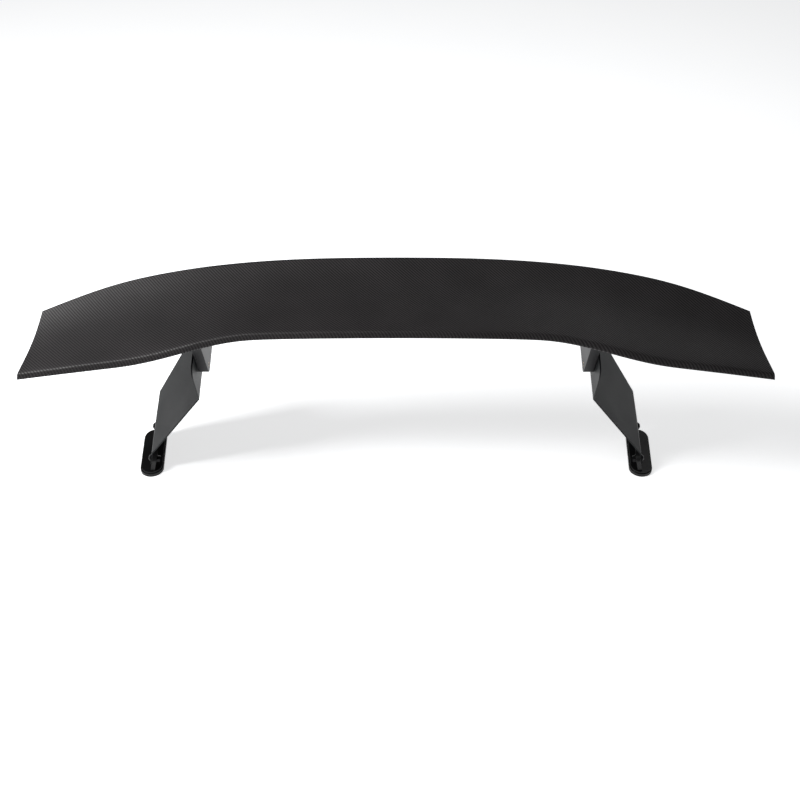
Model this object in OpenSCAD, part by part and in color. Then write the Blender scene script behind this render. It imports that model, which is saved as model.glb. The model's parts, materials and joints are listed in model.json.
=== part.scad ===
// Racing rear wing on two splayed stands.
// X runs across the car, -Y is the front, +Y the rear, +Z up. The four foot
// gaskets rest on Z = 0. Left is -X and right is +X.

/* [Wing] */
// full width of the wing, tip to tip
span = 1500; // [1200:10:1800]
// front to rear depth of the wing in the middle
centre_chord = 222; // [190:1:260]
// how far the front edge of a tip lies ahead of the middle's
tip_front_sweep = 71; // [30:1:110]
// how far the rear edge of a tip lies ahead of the middle's
tip_rear_sweep = 123; // [80:1:150]
// how much further out the front corner of a tip reaches than its rear corner
tip_cut = 20; // [0:1:40]
// how far the tips droop below the middle
tip_droop = 28; // [0:1:60]
// how far the front edge is raised between the S bends
front_raise = 15; // [0:1:30]
// depth of the section's arch as a share of its chord
arch = 0.0935; // [0.05:0.0005:0.11]
// thickness of the section as a share of its chord
thickness = 0.11; // [0.08:0.005:0.14]
// how far the front edge rolls down
lip_drop = 6; // [0:0.5:9]
// laminate thickness of the two skins
skin_t = 2; // [1.2:0.1:3]
// width of each closing rib inside a tip
tip_rib_w = 6; // [3:0.5:10]

/* [Keels under the wing] */
// distance from the middle to the centre of each keel
keel_x = 400; // [330:5:450]
// width of each keel
keel_w = 20; // [16:0.5:26]
// height of the wing's chord above the pivot
wing_rise = 108; // [100:1:130]
// radius of the keel around its pivot
pivot_boss_r = 16; // [12:0.5:20]
// radius of the keel around its angle-setting insert
index_boss_r = 14; // [11:0.5:18]

/* [Stands] */
// sheet thickness of the stands
sheet_t = 3; // [2:0.1:4]
// inside radius of both bends
bend_r = 5; // [3:0.5:8]
// length of each stand's top plate along its bend
top_len = 229; // [215:1:250]
// height of the top plate above the upper bend
top_h = 100; // [90:1:106]
// radius of the top plate's two upper corners
top_corner_r = 25; // [10:1:35]
// pivot hole behind the top plate's front edge
pivot_from_front = 59; // [48:1:70]
// pivot hole above the upper bend
pivot_above_bend = 42.5; // [36:0.5:46]
// distance from the pivot to the row of angle holes
index_r = 119.5; // [105:0.5:130]
// angle between one hole and the next
index_step = 5; // [4.6:0.1:5.4]
// lean of the web out of upright
web_lean = 40; // [30:1:48]
// length of the web between its two bends
web_len = 180; // [140:1:230]
// lean of the lower flange out of upright
flange_lean = 15; // [8:1:22]
// how far the lower bend starts ahead of the upper bend's rear end
web_rear_cut = 123; // [90:1:140]
// how far the lower bend runs ahead of the upper bend's front end
web_front_reach = 52; // [30:1:70]

/* [Feet] */
// slope of the mounting deck under the car's rear edge
deck_slope = 20; // [14:0.5:24]
// length of each foot
foot_len = 150; // [140:1:180]
// width of each foot
foot_w = 50; // [44:1:60]
// thickness of each foot's base
foot_t = 9; // [8:0.5:12]
// height of the rib on each foot
rib_h = 38; // [34:0.5:46]
// thickness of the rib
rib_t = 9; // [7:0.5:9.5]
// height of the screws above the foot's base, along the rib
rib_hole_h = 26; // [24:0.5:28]
// thickness of the rubber gaskets
gasket_t = 2.5; // [1.5:0.1:4]
// width of the slot in each gasket
gasket_slot_w = 21; // [18:0.5:26]

/* [Hidden] */
$fn = 96;
eps = 0.01;
cut = 1;

// rest setting: the lowest hole puts the chord this far nose up from the bends
rest_angle = 4;

// M6 and M8 fasteners
m6_d = 6;
m6_len = 25;
m6_head_d = 12;
m6_head_h = 3.6;
m6_key = 4;
m8_d = 8;
m8_len = 20;
m8_head_d = 16;
m8_head_h = 5;
m8_key = 5;
m8_hole_d = 8.6;
flange_nut_d = 18;
nut_flange_t = 1.8;
nut_af = 13;
nut_h = 8;
insert_d = 9;
run_gap = 0.05;
air_gap = 0.3;

// span stations of the wing
half = span / 2;
rib_half = 3;
mid_steps = 9;
out_steps = 10;
keel_in = keel_x - keel_w / 2;
keel_out = keel_x + keel_w / 2;
tip_in = half - tip_rib_w;
half_x = concat([rib_half],
    [for (i = [1 : mid_steps]) rib_half + (keel_in - rib_half) * i / mid_steps],
    [keel_out],
    [for (i = [1 : out_steps]) keel_out + (tip_in - keel_out) * i / out_steps],
    [half]);
halves = len(half_x);
stations = concat([for (i = [halves - 1 : -1 : 0]) -half_x[i]], half_x);
n_st = len(stations);

// chord stations, from the front edge (0) to the rear edge (1)
chord_t = [0, 0.003, 0.01, 0.02, 0.03, 0.042, 0.055, 0.09, 0.14, 0.2, 0.26, 0.33, 0.41,
    0.49, 0.57, 0.63, 0.68, 0.75, 0.82, 0.88, 0.93, 1];
n_t = len(chord_t);
hollow_a = 6;
hollow_b = 19;
spar1_a = 9;
spar1_b = 10;
spar2_a = 15;
spar2_b = 16;
lip_t = 0.05;
rear_edge_half = 0.8;

// S bends of the wing, reaching from inside each keel to outside it
s_inside = 110;
s_outside = 150;
tail_start = 320;
tail_soft = 60;
s_share = 0.37;
slant_start = 0.7;

function smooth(q) = let (c = max(0, min(1, q))) c * c * (3 - 2 * c);
function s_curve(x) = smooth((abs(x) - keel_x + s_inside) / (s_inside + s_outside));
function ramp(x) = (x - tail_start + sqrt(pow(x - tail_start, 2) + pow(tail_soft, 2))) / 2;
function tail(x) = (ramp(abs(x)) - ramp(0)) / (ramp(half) - ramp(0));
function front_sweep(x) = tip_front_sweep * (s_share * s_curve(x) + (1 - s_share) * tail(x));
function rear_sweep(x) = tip_rear_sweep * pow(abs(x) / half, 3);
function droop(x) = tip_droop * pow(abs(x) / half, 2);

// the middle of the chord line stays over the same part of the stands
pivot_share = 0.19;
front_y0 = -index_r * pivot_share;
rear_y0 = front_y0 + centre_chord;
function front_y(x) = front_y0 - front_sweep(x);
function rear_y(x) = rear_y0 - rear_sweep(x);
function chord(x) = rear_y(x) - front_y(x);
function front_z(x) = wing_rise - droop(x) + front_raise * (1 - s_curve(x));
function rear_z(x) = wing_rise - droop(x);
function arch_z(t) = -arch * 4 * t * (1 - t);
function lip_z(t) = -lip_drop * (1 - smooth(t / lip_t));
// the usual four-digit wing section
function half_t(t) = 5 * thickness * (0.2969 * sqrt(t) - 0.126 * t - 0.3516 * t * t
    + 0.2843 * pow(t, 3) - 0.1036 * pow(t, 4));
// the tips are cut at a slant, which fades out before the keels
function slant(x) = tip_cut * sign(x) * smooth((abs(x) / half - slant_start) / (1 - slant_start));
// off: +1 upper face, -1 lower face, 0 the joint between the skins
function section(x, t, off, inset = 0) = [x - t * slant(x),
    front_y(x) + t * chord(x),
    front_z(x) * (1 - t) + rear_z(x) * t + chord(x) * arch_z(t) + lip_z(t)
        + off * (chord(x) * half_t(t) + rear_edge_half * t - inset)];

// one closed ring of a skin: outer face front to rear, then back inside
function skin_ring(x, off) = concat(
    [for (i = [0 : n_t - 1]) section(x, chord_t[i], off)],
    [section(x, 1, 0), section(x, chord_t[hollow_b], 0)],
    [for (i = [hollow_b : -1 : hollow_a]) section(x, chord_t[i], off, skin_t)],
    [section(x, chord_t[hollow_a], 0)]);
function bay_ring(x, a, b) = concat(
    [for (i = [b : -1 : a]) section(x, chord_t[i], 1, skin_t)],
    [for (i = [a : b]) section(x, chord_t[i], -1, skin_t)]);
// Joins rings of equal length into one solid. turn is true where a ring runs
// clockwise, and paired is true where its first half lies over its second. The
// triangles of the left half mirror those of the right.
module loft(rings, turn, paired = false) {
    n = len(rings);
    m = len(rings[0]);
    pts = [for (r = rings) each r];
    sides = [for (i = [0 : n - 2], k = [0 : m - 1])
        let (a = i * m + k, b = i * m + (k + 1) % m, c = a + m, d = b + m)
        each ((rings[i][0][0] < 0) != (paired && k >= m / 2)
            ? [[a, b, c], [b, d, c]] : [[a, b, d], [a, d, c]])];
    end = (n - 1) * m;
    caps = paired
        ? [for (k = [0 : m / 2 - 2]) let (p = m - 1 - k)
            each [[k, p, p - 1], [k, p - 1, k + 1],
                [end + k, end + k + 1, end + p - 1], [end + k, end + p - 1, end + p]]]
        : [[for (k = [m - 1 : -1 : 0]) k], [for (k = [0 : m - 1]) end + k]];
    all = concat(sides, caps);
    polyhedron(points = pts,
        faces = turn ? all : [for (f = all) [for (k = [len(f) - 1 : -1 : 0]) f[k]]]);
}

// index position in the wing's own frame
index_y = index_r * cos(rest_angle);
index_z = index_r * sin(rest_angle);

// stand geometry, with the pivot at the origin and the bends along Y
plate_gap = 1.3;
plate_x = keel_out + plate_gap;
bend_z = -pivot_above_bend;
top_front = -pivot_from_front;
top_rear = top_len - pivot_from_front;
low_rear = top_rear - web_rear_cut;
low_front = top_front - web_front_reach;
flange_front_drop = 20;
flange_front_run = 16;
flange_rear_run = 53;
flange_edge = atan(tan(deck_slope) / cos(flange_lean));
corner_front = [low_front - flange_front_run, flange_front_drop];
corner_rear_y = low_rear - flange_rear_run;
corner_rear = [corner_rear_y,
    flange_front_drop + (corner_rear_y - corner_front[0]) * tan(flange_edge)];
hole_in = 10.5;
hole_up = 10;
edge_dir = [cos(flange_edge), sin(flange_edge)];
edge_up = [sin(flange_edge), -cos(flange_edge)];
hole_front = corner_front + edge_dir * hole_in + edge_up * hole_up;
hole_rear = corner_rear - edge_dir * hole_in + edge_up * hole_up;
hole_mid = (hole_front + hole_rear) / 2;
hole_pitch = norm(hole_rear - hole_front);

// inner face of the sheet, followed down from the top plate, as [x, z]
function along(a) = [sin(a), -cos(a)];
function outward(a) = [cos(a), sin(a)];
bend1_c = [plate_x, bend_z] + outward(0) * (sheet_t + bend_r);
web_start = bend1_c - outward(web_lean) * (sheet_t + bend_r);
web_end = web_start + along(web_lean) * web_len;
bend2_c = web_end - outward(web_lean) * bend_r;
flange_start = bend2_c + outward(flange_lean) * bend_r;
function flange_point(p) = [flange_start[0] + p[1] * sin(flange_lean), p[0],
    flange_start[1] - p[1] * cos(flange_lean)];

// from the stand's frame to the level frame
function level(p) = [p[0], p[1] * cos(deck_slope) - p[2] * sin(deck_slope),
    p[1] * sin(deck_slope) + p[2] * cos(deck_slope)];
foot_toe = atan(tan(flange_lean) * sin(deck_slope));
rib_lean = asin(sin(flange_lean) * cos(deck_slope));
foot_ref = level(flange_point(hole_mid));
lift = gasket_t + foot_t + rib_hole_h * cos(rib_lean) - foot_ref[2];

// the ends of the whole wing, so that the middle of its depth is at Y = 0
function wing_level(p) = level([p[0], p[1] * cos(rest_angle) + p[2] * sin(rest_angle),
    p[2] * cos(rest_angle) - p[1] * sin(rest_angle)]);
rear_most = max([for (x = stations, o = [-1, 0, 1]) wing_level(section(x, 1, o))[1]]);
wing_front = min([for (x = stations, t = chord_t, o = [-1, 1]) wing_level(section(x, t, o))[1]]);
foot_shift = foot_ref[1];
foot_front = foot_shift - (foot_len - foot_w) / 2 * cos(foot_toe) - foot_w / 2;
front_most = min(wing_front, foot_front);
shift_y = -(front_most + rear_most) / 2;

module deck() {
    translate([0, shift_y, lift]) rotate([deck_slope, 0, 0]) children();
}
module wing_frame() {
    deck() rotate([-rest_angle, 0, 0]) children();
}
module side(s) {
    mirror([s < 0 ? 1 : 0, 0, 0]) children();
}
module carbon() { color([0.1, 0.095, 0.1]) children(); }
module black_sheet() { color([0.07, 0.07, 0.08]) children(); }
module black_metal() { color([0.09, 0.09, 0.1]) children(); }
module steel() { color([0.12, 0.12, 0.13]) children(); }
module brass() { color([0.72, 0.56, 0.3]) children(); }
module rubber() { color([0.12, 0.12, 0.1]) children(); }

// ---- wing ----
// Each skin is stored as three panels that meet face to face above the keels' inner
// sides: part is -1 for the left one, 0 for the middle one and 1 for the right one.
module skin(part, off) {
    xs = [for (x = stations)
        if (part == 0 ? abs(x) <= keel_in : part * x >= keel_in) x];
    carbon() wing_frame() loft([for (x = xs) skin_ring(x, off)], off > 0);
}
module left_upper_skin() { skin(-1, 1); }
module middle_upper_skin() { skin(0, 1); }
module right_upper_skin() { skin(1, 1); }
module left_lower_skin() { skin(-1, -1); }
module middle_lower_skin() { skin(0, -1); }
module right_lower_skin() { skin(1, -1); }
module spar(a, b) {
    black_metal() wing_frame()
        loft([for (i = [1 : n_st - 2]) bay_ring(stations[i], a, b)], false, true);
}
module front_spar() { spar(spar1_a, spar1_b); }
module rear_spar() { spar(spar2_a, spar2_b); }
module centre_rib() {
    carbon() wing_frame()
        loft([for (x = [-rib_half, rib_half]) bay_ring(x, spar1_b, spar2_a)], false, true);
}
module tip_rib(s) {
    xs = s < 0 ? [-half, -tip_in] : [tip_in, half];
    carbon() wing_frame() loft([for (x = xs) bay_ring(x, hollow_a, hollow_b)], false, true);
}
module left_tip_rib() { tip_rib(-1); }
module right_tip_rib() { tip_rib(1); }

// ---- keels ----
keel_front_reach = 34;
keel_rear_reach = 32;
keel_line = atan2(index_z, index_y) - acos((pivot_boss_r - index_boss_r) / index_r);
keel_u = [cos(keel_line), sin(keel_line)];
keel_top = wing_rise + front_raise;
module across(x0, x1, y, z, d) {
    translate([x0, y, z]) rotate([0, 90, 0]) cylinder(h = x1 - x0, d = d);
}
module keel_body() {
    translate([keel_in, 0, 0]) rotate([90, 0, 90]) linear_extrude(keel_w)
        polygon([[-keel_front_reach, keel_top], [-pivot_boss_r, 0], keel_u * pivot_boss_r,
            [index_y, index_z] + keel_u * index_boss_r, [index_y + index_boss_r, index_z],
            [index_y + keel_rear_reach, keel_top]]);
    across(keel_in, keel_out, 0, 0, 2 * pivot_boss_r);
    across(keel_in, keel_out, index_y, index_z, 2 * index_boss_r);
}
// the space above the wing's lower face around one keel
cutter_h = 60;
cutter_over = 20;
module wing_cutter() {
    xs = [for (k = [mid_steps - 1 : mid_steps + 2]) half_x[k]];
    loft([for (x = xs) concat(
        [for (t = chord_t) section(x, t, -1)],
        [section(x, 1, -1) + [0, cutter_over, cutter_h],
            section(x, 0, -1) + [0, -cutter_over, cutter_h]])], false);
}
module keel(s) {
    black_metal() wing_frame() side(s) difference() {
        keel_body();
        wing_cutter();
        across(keel_in - cut, keel_out + cut, 0, 0, insert_d);
        across(keel_in - cut, keel_out + cut, index_y, index_z, insert_d);
    }
}
module left_keel() { keel(-1); }
module right_keel() { keel(1); }
module keel_inserts(s) {
    brass() wing_frame() side(s) for (p = [[0, 0], [index_y, index_z]])
        difference() {
            across(keel_in, keel_out, p[0], p[1], insert_d);
            across(keel_in - cut, keel_out + cut, p[0], p[1], m6_d + 2 * run_gap);
        }
}
module left_keel_inserts() { keel_inserts(-1); }
module right_keel_inserts() { keel_inserts(1); }
washer_t = plate_gap - air_gap;
washer_d = 18;
module pivot_washer(s) {
    steel() wing_frame() side(s) difference() {
        across(keel_out, keel_out + washer_t, 0, 0, washer_d);
        across(keel_out - cut, keel_out + plate_gap, 0, 0, m6_d + 2 * run_gap);
    }
}
module left_pivot_washer() { pivot_washer(-1); }
module right_pivot_washer() { pivot_washer(1); }

// button head screw along +Z, with the underside of its head at Z = 0
socket_floor = 0.45;
module button_screw(d, len, head_d, head_h, key) {
    dome_r = (pow(head_d / 2, 2) + pow(head_h, 2)) / (2 * head_h);
    difference() {
        intersection() {
            translate([0, 0, head_h - dome_r]) sphere(r = dome_r);
            cylinder(h = head_h + cut, d = head_d);
        }
        translate([0, 0, head_h * socket_floor]) cylinder(h = head_h, d = key / cos(30), $fn = 6);
    }
    translate([0, 0, -len]) cylinder(h = len + eps, d = d);
}
module m6_screw() { button_screw(m6_d, m6_len, m6_head_d, m6_head_h, m6_key); }
module m8_screw() { button_screw(m8_d, m8_len, m8_head_d, m8_head_h, m8_key); }

// head outside the stand, shank through the plate into the keel
module pivot_screw(s) {
    steel() wing_frame() side(s)
        translate([plate_x + sheet_t + air_gap, 0, 0]) rotate([0, 90, 0]) m6_screw();
}
module left_pivot_screw() { pivot_screw(-1); }
module right_pivot_screw() { pivot_screw(1); }
// backed out so that the wing is free to tilt
index_travel = 5.5;
module index_screw(s) {
    steel() wing_frame() side(s)
        translate([keel_in - index_travel, index_y, index_z]) rotate([0, -90, 0]) m6_screw();
}
module left_index_screw() { index_screw(-1); }
module right_index_screw() { index_screw(1); }

// ---- stands ----
pivot_gap = 0.06;
index_gap = 0.35;
pivot_hole_d = m6_d + 2 * pivot_gap;
index_hole_d = m6_d + 2 * index_gap;
index_holes = 4;
bend_steps = 6;
corner_steps = 10;
// cross-section of the folded sheet, looking along its bends
function arc(c, r, a, b) = [for (i = [0 : bend_steps]) c + r * outward(a + (b - a) * i / bend_steps)];
function bend_path(depth) = concat(
    [[plate_x + depth, bend_z + top_h]],
    arc(bend1_c, -(sheet_t + bend_r - depth), 0, web_lean),
    arc(bend2_c, bend_r + depth, web_lean, flange_lean),
    [flange_start + outward(flange_lean) * depth + along(flange_lean) * (corner_rear[1] + sheet_t)]);
function reversed(v) = [for (i = [len(v) - 1 : -1 : 0]) v[i]];
module sheet_section() {
    polygon(concat(bend_path(0), reversed(bend_path(sheet_t))));
}
// the stand's outline, looking along X
module stand_outline() {
    front = flange_point(corner_front);
    rear = flange_point(corner_rear);
    corner_z = bend_z + top_h - top_corner_r;
    polygon(concat(
        [for (i = [0 : corner_steps]) [top_rear - top_corner_r, corner_z]
            + top_corner_r * outward(90 * i / corner_steps)],
        [for (i = [0 : corner_steps]) [top_front + top_corner_r, corner_z]
            + top_corner_r * outward(90 + 90 * i / corner_steps)],
        [[top_front, web_start[1]], [low_front, web_end[1]], [low_front, flange_start[1]],
            [front[1], front[2]], [rear[1], rear[2]], [low_rear, flange_start[1]],
            [low_rear, web_end[1]], [top_rear, web_start[1]]]));
}
module flange_hole(p) {
    at = flange_point(p);
    translate(at) rotate([0, 90 - flange_lean, 0])
        translate([0, 0, -cut]) cylinder(h = sheet_t + 2 * cut, d = m8_hole_d);
}
module stand(s) {
    reach = flange_start[0] + sheet_t + corner_rear[1];
    black_sheet() deck() side(s) difference() {
        intersection() {
            translate([0, top_rear + cut, 0]) rotate([90, 0, 0])
                linear_extrude(top_rear - corner_front[0] + 2 * cut) sheet_section();
            translate([plate_x - cut, 0, 0]) rotate([90, 0, 90])
                linear_extrude(reach - plate_x) stand_outline();
        }
        across(plate_x - cut, plate_x + sheet_t + cut, 0, 0, pivot_hole_d);
        for (i = [0 : index_holes - 1]) across(plate_x - cut, plate_x + sheet_t + cut,
            index_r * cos(i * index_step), index_r * sin(i * index_step), index_hole_d);
        flange_hole(hole_front);
        flange_hole(hole_rear);
    }
}
module left_stand() { stand(-1); }
module right_stand() { stand(1); }

// ---- feet ----
// The frame's origin is under the middle of the foot's base. The rib leans
// inward at its top, and its outer face carries the stand's flange.
rib_out_x = rib_t / 2 - rib_hole_h * sin(rib_lean) / 2;
foot_off = -(rib_out_x - rib_hole_h * sin(rib_lean));
rib_end_gap = 7;
rib_len = foot_len - 2 * rib_end_gap;
rib_end_r = 14;
foot_step = 4;
foot_step_in = 2.5;
module foot_frame(s) {
    side(s) translate([foot_ref[0], foot_ref[1] + shift_y, gasket_t])
        rotate([0, 0, -foot_toe]) translate([foot_off, 0, 0]) children();
}
module stadium(l, w, h) {
    for (y = [-1, 1]) translate([0, y * (l - w) / 2, 0]) cylinder(h = h, d = w);
    translate([-w / 2, -(l - w) / 2, 0]) cube([w, l - w, h]);
}
// the rib's own frame: X out of its outer face, Y along it, Z up the rib
module rib_frame() {
    translate([rib_out_x, 0, foot_t]) rotate([0, -rib_lean, 0]) children();
}
module rib_outline() {
    difference() {
        union() {
            translate([-rib_len / 2, -rib_t]) square([rib_len, rib_t + rib_h - rib_end_r]);
            translate([-rib_len / 2 + rib_end_r, 0]) square([rib_len - 2 * rib_end_r, rib_h]);
            for (y = [-1, 1]) translate([y * (rib_len / 2 - rib_end_r), rib_h - rib_end_r])
                circle(r = rib_end_r);
        }
        for (y = [-1, 1]) translate([y * hole_pitch / 2, rib_hole_h]) circle(d = m8_hole_d);
    }
}
insert_y = 34;
insert_cover = 1.5;
deck_insert_len = foot_t - insert_cover;
module foot(s) {
    black_metal() foot_frame(s) difference() {
        union() {
            stadium(foot_len, foot_w, foot_t - foot_step);
            stadium(foot_len - 2 * foot_step_in, foot_w - 2 * foot_step_in, foot_t);
            difference() {
                rib_frame() translate([-rib_t, 0, 0]) rotate([90, 0, 90])
                    linear_extrude(rib_t) rib_outline();
                translate([-foot_w, -foot_len, foot_t - 2 * rib_t])
                    cube([2 * foot_w, 2 * foot_len, 2 * rib_t - eps - foot_t / 2]);
            }
        }
        for (y = [-1, 1]) translate([0, y * insert_y, -cut])
            cylinder(h = deck_insert_len + cut, d = insert_d);
    }
}
module left_foot() { foot(-1); }
module right_foot() { foot(1); }
module deck_inserts(s) {
    brass() foot_frame(s) for (y = [-1, 1]) translate([0, y * insert_y, 0])
        difference() {
            cylinder(h = deck_insert_len, d = insert_d);
            translate([0, 0, -cut]) cylinder(h = deck_insert_len + 2 * cut, d = m6_d + 2 * run_gap);
        }
}
module left_deck_inserts() { deck_inserts(-1); }
module right_deck_inserts() { deck_inserts(1); }
module gasket(s) {
    rubber() foot_frame(s) translate([0, 0, -gasket_t]) difference() {
        stadium(foot_len, foot_w, gasket_t);
        translate([0, 0, -cut])
            stadium(foot_len - foot_w + gasket_slot_w, gasket_slot_w, gasket_t + 2 * cut);
    }
}
module left_gasket() { gasket(-1); }
module right_gasket() { gasket(1); }
module at_foot_holes(s) {
    foot_frame(s) rib_frame() for (y = [-1, 1])
        translate([0, y * hole_pitch / 2, rib_hole_h]) children();
}
module foot_screws(s) {
    steel() at_foot_holes(s) translate([sheet_t, 0, 0]) rotate([0, 90, 0]) m8_screw();
}
module left_foot_screws() { foot_screws(-1); }
module right_foot_screws() { foot_screws(1); }
module foot_nuts(s) {
    steel() at_foot_holes(s) translate([-rib_t, 0, 0]) rotate([0, -90, 0]) difference() {
        union() {
            cylinder(h = nut_flange_t, d = flange_nut_d);
            cylinder(h = nut_h, d = nut_af / cos(30), $fn = 6);
        }
        translate([0, 0, -cut]) cylinder(h = nut_h + 2 * cut, d = m8_d + 2 * run_gap);
    }
}
module left_foot_nuts() { foot_nuts(-1); }
module right_foot_nuts() { foot_nuts(1); }

left_upper_skin();
middle_upper_skin();
right_upper_skin();
left_lower_skin();
middle_lower_skin();
right_lower_skin();
front_spar();
rear_spar();
centre_rib();
left_tip_rib();
right_tip_rib();
left_keel();
right_keel();
left_keel_inserts();
right_keel_inserts();
left_pivot_washer();
right_pivot_washer();
left_pivot_screw();
right_pivot_screw();
left_index_screw();
right_index_screw();
left_stand();
right_stand();
left_foot();
right_foot();
left_foot_screws();
right_foot_screws();
left_foot_nuts();
right_foot_nuts();
left_deck_inserts();
right_deck_inserts();
left_gasket();
right_gasket();
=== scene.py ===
# %% [markdown]
# # A carbon rear wing, dressed for the studio
# The CAD model already has the true shape of every part that fastens, tilts or carries load.

# %% Load the frame
import json
import math

import bmesh
import bpy
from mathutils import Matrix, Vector

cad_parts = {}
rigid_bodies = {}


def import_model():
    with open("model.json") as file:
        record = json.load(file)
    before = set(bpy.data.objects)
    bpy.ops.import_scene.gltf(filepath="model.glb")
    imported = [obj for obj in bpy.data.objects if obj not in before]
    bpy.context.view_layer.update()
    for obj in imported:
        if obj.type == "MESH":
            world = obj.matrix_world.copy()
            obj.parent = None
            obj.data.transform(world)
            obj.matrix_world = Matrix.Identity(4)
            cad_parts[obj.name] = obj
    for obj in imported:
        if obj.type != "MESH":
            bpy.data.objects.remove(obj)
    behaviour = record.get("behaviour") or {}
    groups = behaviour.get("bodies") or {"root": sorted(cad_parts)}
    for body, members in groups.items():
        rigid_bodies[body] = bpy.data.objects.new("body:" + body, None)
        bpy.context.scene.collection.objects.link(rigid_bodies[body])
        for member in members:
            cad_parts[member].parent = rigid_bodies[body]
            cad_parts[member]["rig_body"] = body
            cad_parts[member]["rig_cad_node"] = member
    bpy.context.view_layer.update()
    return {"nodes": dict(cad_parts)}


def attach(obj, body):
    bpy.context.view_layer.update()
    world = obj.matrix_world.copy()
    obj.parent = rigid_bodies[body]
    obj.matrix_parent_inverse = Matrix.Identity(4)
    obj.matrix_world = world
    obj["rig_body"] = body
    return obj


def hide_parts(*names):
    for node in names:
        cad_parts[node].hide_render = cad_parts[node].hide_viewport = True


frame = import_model()
nodes = frame["nodes"]
MM = 0.001

# %% [markdown]
# ## Helpers for materials
# Colours are chosen as sRGB hex codes, the way a painter's swatch is quoted, and one function turns them
# to the linear values that shaders want. One more function adds a node with its settings and links, so
# every material below reads as a short list. The patterns are built from Object coordinates, in metres,
# so a thread or a grain keeps its real size on every part.

# %% Colour and node helpers
def linear(code):
    channels = [int(code[i : i + 2], 16) / 255 for i in (1, 3, 5)]
    lin = [c / 12.92 if c <= 0.04045 else ((c + 0.055) / 1.055) ** 2.4 for c in channels]
    return (*lin, 1.0)


def add(tree, kind, inputs=None, **settings):
    node = tree.nodes.new("ShaderNode" + kind)
    for name, value in settings.items():
        setattr(node, name, value)
    for key, value in (inputs or {}).items():
        if isinstance(value, bpy.types.NodeSocket):
            tree.links.new(value, node.inputs[key])
        else:
            node.inputs[key].default_value = value
    return node


def start_material(name, **sockets):
    material = bpy.data.materials.new(name)
    material.use_nodes = True
    tree = material.node_tree
    shader = tree.nodes["Principled BSDF"]
    for key, value in sockets.items():
        shader.inputs[key.replace("_", " ")].default_value = value
    print("material:", name)
    return material, tree, shader


def math_node(tree, operation, a, b=0.0):
    return add(tree, "Math", {0: a, 1: b}, operation=operation).outputs[0]


def object_coordinates(tree):
    return add(tree, "TexCoord").outputs["Object"]


# %% [markdown]
# ## Carbon-fibre twill under satin lacquer
# The skins are 2x2 twill cloth in epoxy, cured in a mould and sprayed with a satin clear coat. Twill
# passes over two tows and under two, one step further on each row, and that stepping makes the fine
# diagonal lines. A tow is 1.7 mm wide. An image of cloth would have to be stretched over the sweep of
# the wing, so the weave is worked out instead: row and column numbers say which tow lies on top. Each
# tow gets a low crown in the bump and its own roughness. Fibres that run across the light look brighter
# than those along it, so where the warp lies on top the colour is painted lighter than where the weft
# does: a painted sheen. The crown is painted into the colour too, as painted shade towards tow edges.

# %% Carbon twill material
TOW = 1.7 * MM
TOW_CROWN = 0.12 * MM
TWILL_REPEAT = 4.0
WARP_ROUGHNESS = 0.38
WEFT_ROUGHNESS = 0.7
# painted shade: how much the crown height darkens the colour towards the edges of each tow
CROWN_SHADE = 0.35
CLOUD_LIFT = 0.3


def crown(tree, count):
    part = math_node(tree, "FRACT", count)
    rise = math_node(tree, "MULTIPLY", part, 4.0)
    return math_node(tree, "MULTIPLY", rise, math_node(tree, "SUBTRACT", 1.0, part))


def carbon_twill(name, across, along):
    material, tree, shader = start_material(name, IOR=1.5, Specular_IOR_Level=0.35)
    place = object_coordinates(tree)
    axes = add(tree, "SeparateXYZ", {0: place}).outputs
    column = math_node(tree, "DIVIDE", axes[across], TOW)
    row = math_node(tree, "DIVIDE", axes[along], TOW)
    step = math_node(tree, "ADD", math_node(tree, "FLOOR", column), math_node(tree, "FLOOR", row))
    turn = math_node(tree, "FRACT", math_node(tree, "DIVIDE", step, TWILL_REPEAT))
    warp_on_top = math_node(tree, "LESS_THAN", turn, 0.5)

    height = add(tree, "Mix", {0: warp_on_top, 2: crown(tree, row), 3: crown(tree, column)}).outputs[0]
    cloud = add(tree, "TexNoise", {"Vector": place, "Scale": 9.0, "Detail": 2.0}).outputs[0]
    # painted sheen: cells where the warp lies on top are coloured lighter than cells where the weft does
    tone = add(tree, "Mix", {0: warp_on_top, 6: linear("#080707"), 7: linear("#2d2a2b")}, data_type="RGBA")
    # painted shade from the tow crown, darker towards each tow's edges, mixed with a random cloud of tone
    crown_shade_and_cloud = math_node(tree, "ADD", math_node(tree, "MULTIPLY", height, CROWN_SHADE),
                      math_node(tree, "ADD", cloud, CLOUD_LIFT))
    colour = add(tree, "Mix", {0: 1.0, 6: tone.outputs[2], 7: crown_shade_and_cloud}, data_type="RGBA", blend_type="MULTIPLY")
    tree.links.new(colour.outputs[2], shader.inputs["Base Color"])
    roughness = add(tree, "MapRange", {0: warp_on_top, 3: WEFT_ROUGHNESS, 4: WARP_ROUGHNESS})
    tree.links.new(roughness.outputs[0], shader.inputs["Roughness"])
    bump = add(tree, "Bump", {"Height": height, "Distance": TOW_CROWN, "Strength": 0.9})
    tree.links.new(bump.outputs[0], shader.inputs["Normal"])
    return material


twill_flat = carbon_twill("carbon twill, satin lacquer", "X", "Y")
twill_upright = carbon_twill("carbon twill on the tips", "Y", "Z")

# %% [markdown]
# ## Powder coat, rubber, black oxide, anodised aluminium, brass and foam
# The stands and feet are powder coated: the baked powder flows into a skin with a faint orange peel,
# some hundredths of a millimetre high and a millimetre or two across. The gaskets are cut from sheet
# rubber. The screws and nuts are steel with a black oxide skin, oiled, which makes them the shiniest of
# the black parts. Each of these could have its own node tree, but they all come down to a base tone that
# drifts a little, a fine grain in the bump and a roughness that wanders with the tone, so they share one
# builder and differ in their sizes and values.

# %% Grainy finish builder
ROUGHNESS_SPREAD = 0.05
DRIFT_SCALE = 14.0


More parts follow.
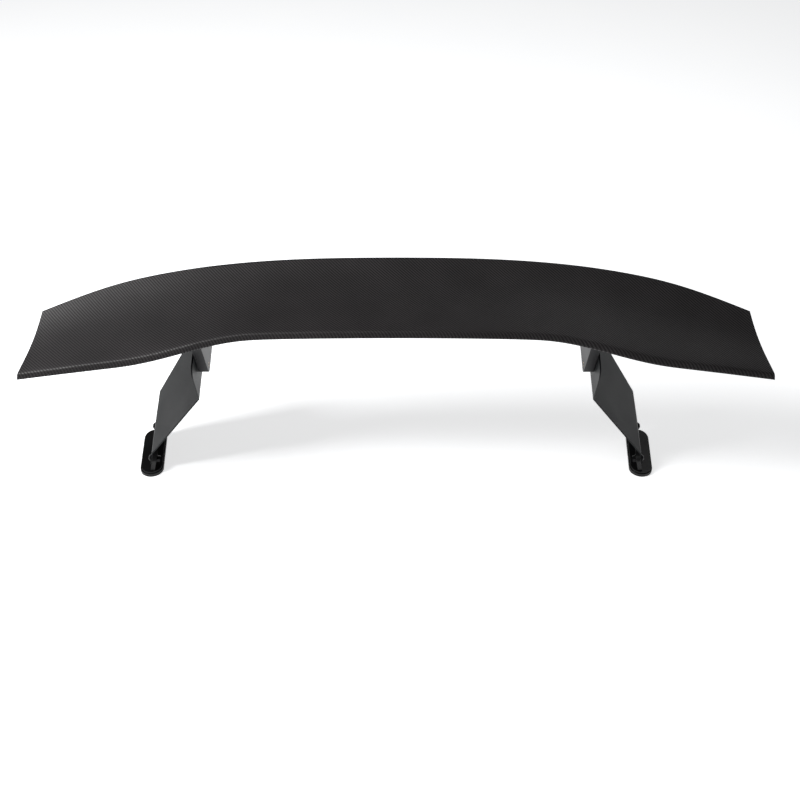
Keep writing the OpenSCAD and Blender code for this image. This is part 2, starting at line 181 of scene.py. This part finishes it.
def grainy(name, dark, light, rough, grain, depth, **sockets):
    material, tree, shader = start_material(name, **sockets)
    place = object_coordinates(tree)
    peel = add(tree, "TexNoise", {"Vector": place, "Scale": 1 / grain, "Detail": 3.0}).outputs[0]
    drift = add(tree, "TexNoise", {"Vector": place, "Scale": DRIFT_SCALE, "Detail": 2.0}).outputs[0]
    tone = add(tree, "Mix", {0: drift, 6: linear(dark), 7: linear(light)}, data_type="RGBA")
    tree.links.new(tone.outputs[2], shader.inputs["Base Color"])
    spread = add(tree, "MapRange", {0: drift, 3: rough - ROUGHNESS_SPREAD, 4: rough + ROUGHNESS_SPREAD})
    tree.links.new(spread.outputs[0], shader.inputs["Roughness"])
    bump = add(tree, "Bump", {"Height": peel, "Distance": depth, "Strength": 0.6})
    tree.links.new(bump.outputs[0], shader.inputs["Normal"])
    return material


# %% Paint, rubber, metal and foam
powder_coat = grainy("satin black powder coat", "#0b0d0f", "#101316", 0.48, 1.4 * MM, 0.03 * MM,
                     IOR=1.5, Specular_IOR_Level=0.22)
cast_coat = grainy("powder coat on cast aluminium", "#080809", "#0f0f10", 0.44, 2.2 * MM, 0.08 * MM,
                   IOR=1.5, Specular_IOR_Level=0.3)
anodised = grainy("black anodised aluminium", "#0d0d0f", "#151518", 0.45, 0.8 * MM, 0.01 * MM,
                  Metallic=0.15, Specular_IOR_Level=0.3)
sheet_rubber = grainy("sheet rubber", "#181812", "#22221a", 0.82, 0.9 * MM, 0.05 * MM, IOR=1.52)
black_oxide = grainy("black oxide steel", "#121213", "#1d1d1f", 0.34, 0.7 * MM, 0.02 * MM, Metallic=0.85)
brass = grainy("turned brass", "#a88a55", "#c2a469", 0.3, 0.6 * MM, 0.01 * MM, Metallic=1.0)
foam = grainy("structural foam", "#b9ab86", "#cdbf9a", 0.9, 1.0 * MM, 0.3 * MM)

# %% [markdown]
# ## Working copies of the CAD parts
# A CAD node's mesh is loose triangles with sharp edges. A real part has none: sheet is deburred,
# castings have radii and laminate edges are sanded. A part could be drawn again from primitives, but its
# holes and bends would then have to be matched to the CAD. So each visible part is copied instead, its
# doubled points are merged and its flat triangles are joined into clean faces. Then it gets a small
# bevel, and stands in for its node. Normals weighted by area keep the large flats flat right up to the
# bevel, so no shading fans out from the holes.

# %% Copy a CAD part and dress a piece
SAME_POINT = 0.002 * MM


def working_copy(node, name):
    bpy.ops.object.select_all(action="DESELECT")
    piece = nodes[node].copy()
    piece.data = nodes[node].data.copy()
    piece.name = name
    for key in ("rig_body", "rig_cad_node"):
        if key in piece:
            del piece[key]
    piece.parent = None
    bpy.context.scene.collection.objects.link(piece)
    bpy.context.view_layer.objects.active = piece
    piece.select_set(True)
    bpy.ops.object.mode_set(mode="EDIT")
    bpy.ops.mesh.select_all(action="SELECT")
    bpy.ops.mesh.remove_doubles(threshold=SAME_POINT)
    bpy.ops.object.mode_set(mode="OBJECT")
    return piece


def apply_modifier(piece, kind, **settings):
    modifier = piece.modifiers.new(kind.title(), kind)
    for key, value in settings.items():
        setattr(modifier, key, value)
    bpy.ops.object.modifier_apply(modifier=modifier.name)


def dress(piece, material, body, replaced):
    piece.data.materials.clear()
    piece.data.materials.append(material)
    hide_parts(*replaced)
    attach(piece, body)
    print(piece.name, len(piece.data.polygons), "faces")


# %% Bevel a copy
FLAT = math.radians(0.5)
SHARP = math.radians(35)


def join_flat_faces():
    bpy.ops.object.mode_set(mode="EDIT")
    bpy.ops.mesh.select_all(action="SELECT")
    bpy.ops.mesh.dissolve_limited(angle_limit=FLAT)
    bpy.ops.object.mode_set(mode="OBJECT")


def edged_copy(node, name, material, body, width, segments=2):
    piece = working_copy(node, name)
    join_flat_faces()
    apply_modifier(piece, "BEVEL", width=width, segments=segments, limit_method="ANGLE", angle_limit=SHARP,
                   harden_normals=False)
    bpy.ops.object.shade_smooth_by_angle(angle=SHARP)
    apply_modifier(piece, "WEIGHTED_NORMAL", keep_sharp=True)
    dress(piece, material, body, [node])


# %% [markdown]
# ## The wing skins
# The wing is one long moulded surface: it is dished from front to rear, sweeps forward and droops at its
# tips, and rises in the middle through an S bend on each side. The CAD holds each skin as three coarse
# panels. Here they are joined back into the one laminate that the real wing has. The end faces are
# deleted, the doubled points merged and the front and rear edges creased, so that the two skins still
# meet along the parting line. Smooth shading alone would leave a faceted outline, so a subdivision
# surface gives the flow of a polished mould. The open tips are filled last, because a subdivided
# C-shaped end face would bulge out of its outline.

# %% Join the panels of one skin
PANELS = ("left", "middle", "right")
END_FACE = 0.9
SAME_SEAM_POINT = 0.005 * MM


def joined_copy(names, piece_name):
    parts = [working_copy(name, piece_name) for name in names]
    bpy.ops.object.select_all(action="DESELECT")
    for part in parts:
        part.select_set(True)
    bpy.context.view_layer.objects.active = parts[1]
    bpy.ops.object.join()
    bpy.context.object.name = piece_name
    return bpy.context.object


def delete_end_faces(skin):
    bpy.ops.object.mode_set(mode="EDIT")
    bpy.ops.mesh.select_mode(type="FACE")
    bpy.ops.mesh.select_all(action="DESELECT")
    mesh = bmesh.from_edit_mesh(skin.data)
    for face in mesh.faces:
        face.select_set(abs(face.normal.x) > END_FACE)
    bmesh.update_edit_mesh(skin.data)
    bpy.ops.mesh.delete(type="FACE")
    bpy.ops.mesh.select_all(action="SELECT")
    bpy.ops.mesh.remove_doubles(threshold=SAME_SEAM_POINT)
    bpy.ops.object.mode_set(mode="OBJECT")


# %% Smooth a skin and close its tips
QUAD_FACE_ANGLE = math.radians(40)
QUAD_SHAPE_ANGLE = math.radians(60)
CREASE_ANGLE = math.radians(45)
SKIN_SMOOTH_ANGLE = math.radians(50)
SKIN_LEVELS = 2


def crease_edges():
    bpy.ops.object.mode_set(mode="EDIT")
    bpy.ops.mesh.select_all(action="SELECT")
    bpy.ops.mesh.tris_convert_to_quads(face_threshold=QUAD_FACE_ANGLE, shape_threshold=QUAD_SHAPE_ANGLE)
    bpy.ops.mesh.select_all(action="DESELECT")
    bpy.ops.mesh.select_mode(type="EDGE")
    bpy.ops.mesh.edges_select_sharp(sharpness=CREASE_ANGLE)
    bpy.ops.transform.edge_crease(value=1.0)
    bpy.ops.object.mode_set(mode="OBJECT")


def fill_tips():
    bpy.ops.object.mode_set(mode="EDIT")
    bpy.ops.mesh.select_all(action="SELECT")
    bpy.ops.mesh.fill_holes(sides=0)
    bpy.ops.mesh.select_all(action="SELECT")
    bpy.ops.mesh.normals_make_consistent(inside=False)
    bpy.ops.object.mode_set(mode="OBJECT")


for which in ("upper", "lower"):
    panels = [f"{side}_{which}_skin" for side in PANELS]
    skin = joined_copy(panels, f"{which}_skin_moulding")
    delete_end_faces(skin)
    crease_edges()
    apply_modifier(skin, "SUBSURF", levels=SKIN_LEVELS, render_levels=SKIN_LEVELS)
    fill_tips()
    bpy.ops.object.shade_smooth_by_angle(angle=SKIN_SMOOTH_ANGLE)
    dress(skin, twill_flat, "wing", panels)

# %% [markdown]
# ## Stands, feet, gaskets and keels
# The stands are laser cut and folded from 3 mm sheet, so their edges are only broken by half a
# millimetre under the paint. The cast feet have softer edges, the rubber almost none, and the machined
# keels a light chamfer. One bevel width for all would look cast everywhere, so each part has its own.

# %% Edge the mounting parts
SHEET_EDGE = 0.45 * MM
CAST_EDGE = 1.2 * MM
RUBBER_EDGE = 0.3 * MM
MACHINED_EDGE = 0.8 * MM

for side in ("left", "right"):
    edged_copy(side + "_stand", side + "_stand_sheet", powder_coat, "stands", SHEET_EDGE)
    edged_copy(side + "_foot", side + "_foot_casting", cast_coat, "stands", CAST_EDGE,
               segments=3)
    edged_copy(side + "_gasket", side + "_gasket_ring", sheet_rubber, "stands", RUBBER_EDGE)
    edged_copy(side + "_keel", side + "_keel_block", anodised, "wing", MACHINED_EDGE)

# %% [markdown]
# ## Finishes for the parts that stay as CAD
# Screws, nuts, washers, inserts, ribs and spars already have their true shape, and most of them are
# hidden or small. A bevel would add nothing to see, so they keep their CAD mesh and only take a finish.

# %% Assign the remaining finishes
FINISH = {
    "screw": black_oxide,
    "nuts": black_oxide,
    "washer": black_oxide,
    "insert": brass,
    "spar": foam,
    "centre_rib": foam,
    "tip_rib": twill_upright,
}
for name, node in nodes.items():
    for word, material in FINISH.items():
        if word in name:
            node.data.materials.clear()
            node.data.materials.append(material)
            print(name, "in", material.name)

# %% [markdown]
# ## Floor
# A white sweep is how a studio shows black parts. Lamps strong enough to make plain paper white would
# also wash out the black finishes, so the paper glows a little by itself.

# %% Lay the floor
FLOOR_SIZE = 60.0
bpy.ops.object.select_all(action="DESELECT")
bpy.ops.mesh.primitive_plane_add(size=FLOOR_SIZE, location=(0, 0, 0))
floor = bpy.context.object
floor.name = "white_floor"
bpy.ops.object.mode_set(mode="EDIT")
bpy.ops.mesh.subdivide(number_cuts=3)
bpy.ops.object.mode_set(mode="OBJECT")
floor_white, floor_tree, floor_shader = start_material("matt white paper sweep", Roughness=0.95,
                                                       Emission_Strength=0.66)
paper = add(floor_tree, "TexNoise", {"Vector": object_coordinates(floor_tree), "Scale": 3.0})
paper_tone = add(floor_tree, "Mix", {0: paper.outputs[0], 6: linear("#f6f8fa"), 7: linear("#fbfcfd")},
                 data_type="RGBA")
floor_tree.links.new(paper_tone.outputs[2], floor_shader.inputs["Base Color"])
floor_shader.inputs["Emission Color"].default_value = linear("#ffffff")
floor.data.materials.append(floor_white)

# %% [markdown]
# ## Sky and lamps
# One soft box high on the left lights the near end of the weave, and a weak one behind on the right
# picks out the bends. The sky lights the scene dimly, so that the finishes stay black, but is seen as
# bright as the sweep.

# %% Set the sky and the lamps
SKY_LIGHT = 0.1
SKY_SEEN = 0.95
world = bpy.data.worlds.new("studio")
bpy.context.scene.world = world
world.use_nodes = True
sky = world.node_tree.nodes["Background"]
sky.inputs["Color"].default_value = linear("#f4f7fb")
seen = add(world.node_tree, "LightPath").outputs["Is Camera Ray"]
brightness = add(world.node_tree, "MapRange", {0: seen, 3: SKY_LIGHT, 4: SKY_SEEN})
world.node_tree.links.new(brightness.outputs[0], sky.inputs["Strength"])


def soft_box(name, place, aim, size, power):
    light = bpy.data.lights.new(name, "AREA")
    light.shape = "RECTANGLE"
    light.size, light.size_y = size
    light.energy = power
    lamp = bpy.data.objects.new(name, light)
    lamp.location = place
    lamp.rotation_euler = (Vector(aim) - Vector(place)).to_track_quat("-Z", "Y").to_euler()
    bpy.context.scene.collection.objects.link(lamp)
    print(name, power, "W")


soft_box("key_left", place=(-1.75, -0.35, 2.1), aim=(-0.8, 0, 0.35), size=(1.0, 0.8), power=76)
soft_box("rear_right", place=(1.3, 1.7, 2.1), aim=(0.3, 0, 0.35), size=(1.4, 0.8), power=6)

# %% [markdown]
# ## Camera
# The camera looks down from the front, far enough back to keep the wing's long edges almost straight. A
# wide lens close by would bend them and swell the middle.

# %% Place the camera
LENS = 49.5
ELEVATION = math.radians(39.0)
DISTANCE = 2.385
LOOK_AT = Vector((0.008, 0, 0.148))
camera_data = bpy.data.cameras.new("camera")
camera_data.lens = LENS
camera = bpy.data.objects.new("camera", camera_data)
bpy.context.scene.collection.objects.link(camera)
camera.location = LOOK_AT + DISTANCE * Vector((0, -math.cos(ELEVATION), math.sin(ELEVATION)))
camera.rotation_euler = (math.pi / 2 - ELEVATION, 0, 0)
bpy.context.scene.camera = camera
bpy.context.scene.view_settings.view_transform = "Standard"
print("camera at", [round(v, 3) for v in camera.location])
